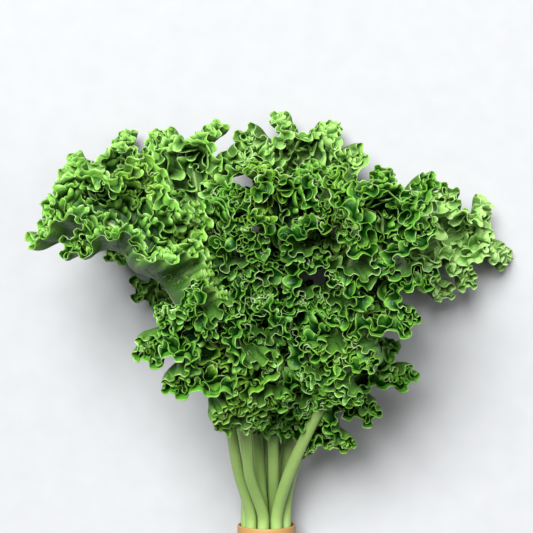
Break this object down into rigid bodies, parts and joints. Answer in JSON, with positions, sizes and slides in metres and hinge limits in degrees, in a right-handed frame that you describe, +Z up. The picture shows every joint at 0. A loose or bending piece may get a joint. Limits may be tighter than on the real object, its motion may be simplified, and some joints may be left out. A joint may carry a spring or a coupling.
{
  "type": "kale bunch",
  "caption": "Bunch of curly kale lying on its side, long stalks held by a plain rubber band, ruffled leaves fanned out in layers.",
  "frame": {"origin": "middle of the bounding box, on the table it lies on", "axes": "+Y from the cut ends of the stalks to the tips of the leaves, +Z up from the table"},
  "size_m": [0.3388, 0.3546, 0.1685],
  "materials": {
    "blade": "satin leaf with a pale waxy bloom",
    "stalk": "smooth, slightly shiny stalk",
    "band": "matt rubber"
  },
  "bodies": {
    "root": {"band": "band", "left_front_blade": "blade", "left_front_stalk": "stalk", "low_front_blade": "blade", "low_front_stalk": "stalk", "right_front_blade": "blade", "right_front_stalk": "stalk", "left_mid_blade": "blade", "left_mid_stalk": "stalk", "low_centre_blade": "blade", "low_centre_stalk": "stalk", "centre_blade": "blade", "centre_stalk": "stalk", "low_right_blade": "blade", "low_right_stalk": "stalk", "upper_left_blade": "blade", "upper_left_stalk": "stalk", "left_back_blade": "blade", "left_back_stalk": "stalk", "top_back_blade": "blade", "top_back_stalk": "stalk", "upper_right_blade": "blade", "upper_right_stalk": "stalk", "far_right_blade": "blade", "far_right_stalk": "stalk"}
  },
  "joints": []
}
